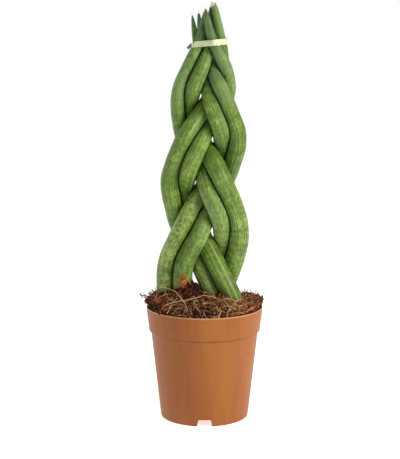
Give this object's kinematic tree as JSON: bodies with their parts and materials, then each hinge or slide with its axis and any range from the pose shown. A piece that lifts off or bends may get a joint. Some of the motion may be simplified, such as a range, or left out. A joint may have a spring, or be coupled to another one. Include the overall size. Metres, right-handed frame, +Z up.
{
  "type": "potted twister snake plant",
  "caption": "Snake plant with cylindrical leaves plaited into an upright braid, tied near the tips and rooted in a heaped coir mix in a tapered plastic nursery pot.",
  "frame": {"origin": "centre of the pot's foot ring, on the surface that the pot stands on", "axes": "+Z up along the pot's axis, -Y towards the front of the plait, +X to the right seen from the front"},
  "size_m": [0.1412, 0.14, 0.4897],
  "materials": {
    "pot": "moulded terracotta-coloured polypropylene, satin",
    "soil": "loose brown coir and bark mix with tan fibres",
    "leaf": "waxy mottled green skin with fine lengthwise grooves and darker cross bands",
    "tie": "pale green flat tape, satin"
  },
  "bodies": {
    "root": {"pot": "pot", "soil": "soil", "leaf_a": "leaf", "leaf_b": "leaf", "leaf_c": "leaf", "leaf_d": "leaf", "leaf_e": "leaf", "leaf_f": "leaf", "tie": "tie"}
  },
  "joints": []
}
